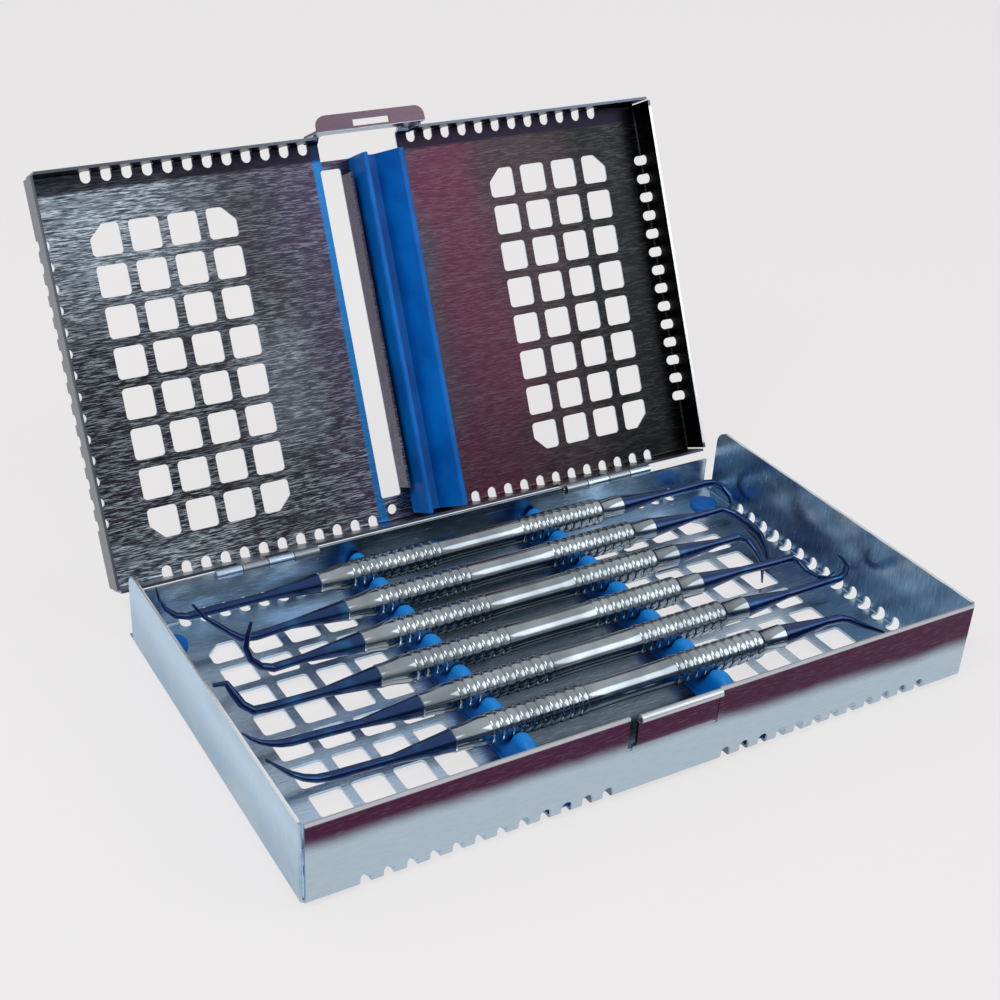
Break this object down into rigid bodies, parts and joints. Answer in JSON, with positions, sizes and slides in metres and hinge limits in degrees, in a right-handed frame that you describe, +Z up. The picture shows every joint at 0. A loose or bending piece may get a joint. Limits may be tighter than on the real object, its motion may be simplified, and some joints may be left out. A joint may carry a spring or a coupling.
{
  "type": "dental instrument cassette",
  "caption": "Hinged perforated steel cassette, lid open, with blue silicone rails holding double-ended dental hand instruments",
  "frame": {"origin": "middle of the footprint of the opened cassette, on the plane its four feet stand on", "axes": "+X along the long side to the right, +Y from the latch side to the hinge side, +Z up"},
  "size_m": [0.201, 0.182, 0.1237],
  "materials": {
    "brushed_sheet": "brushed",
    "brushed_sheet_lid": "brushed",
    "pin_steel": "satin",
    "polished_handle": "polished",
    "blue_coating": "glossy coating",
    "blue_silicone": "satin",
    "foot_silicone": "satin"
  },
  "bodies": {
    "tray": {"tray_shell": "brushed_sheet", "hinge_pin_left": "pin_steel", "hinge_pin_right": "pin_steel", "tray_rail_left": "blue_silicone", "tray_rail_right": "blue_silicone", "foot_front_left": "foot_silicone", "foot_front_right": "foot_silicone", "foot_rear_left": "foot_silicone", "foot_rear_right": "foot_silicone"},
    "lid": {"lid_shell": "brushed_sheet_lid", "lid_strip": "blue_silicone"},
    "instrument_1": {"handle_1": "polished_handle", "tip_left_1": "blue_coating", "tip_right_1": "blue_coating"},
    "instrument_2": {"handle_2": "polished_handle", "tip_left_2": "blue_coating", "tip_right_2": "blue_coating"},
    "instrument_3": {"handle_3": "polished_handle", "tip_left_3": "blue_coating", "tip_right_3": "blue_coating"},
    "instrument_4": {"handle_4": "polished_handle", "tip_left_4": "blue_coating", "tip_right_4": "blue_coating"},
    "instrument_5": {"handle_5": "polished_handle", "tip_left_5": "blue_coating", "tip_right_5": "blue_coating"},
    "instrument_6": {"handle_6": "polished_handle", "tip_left_6": "blue_coating", "tip_right_6": "blue_coating"}
  },
  "joints": [
    {"name": "lid_hinge", "type": "hinge", "parent": "tray", "child": "lid", "pos_m": [0, 0.02733, 0.0148], "axis": [-1, 0, 0], "range_deg": [-116, 0]},
    {"name": "instrument_1_lift", "type": "slide", "parent": "tray", "child": "instrument_1", "axis": [0, 0, 1], "range_m": [0, 0.05]},
    {"name": "instrument_2_lift", "type": "slide", "parent": "tray", "child": "instrument_2", "axis": [0, 0, 1], "range_m": [0, 0.05]},
    {"name": "instrument_3_lift", "type": "slide", "parent": "tray", "child": "instrument_3", "axis": [0, 0, 1], "range_m": [0, 0.05]},
    {"name": "instrument_4_lift", "type": "slide", "parent": "tray", "child": "instrument_4", "axis": [0, 0, 1], "range_m": [0, 0.05]},
    {"name": "instrument_5_lift", "type": "slide", "parent": "tray", "child": "instrument_5", "axis": [0, 0, 1], "range_m": [0, 0.05]},
    {"name": "instrument_6_lift", "type": "slide", "parent": "tray", "child": "instrument_6", "axis": [0, 0, 1], "range_m": [0, 0.05]}
  ]
}
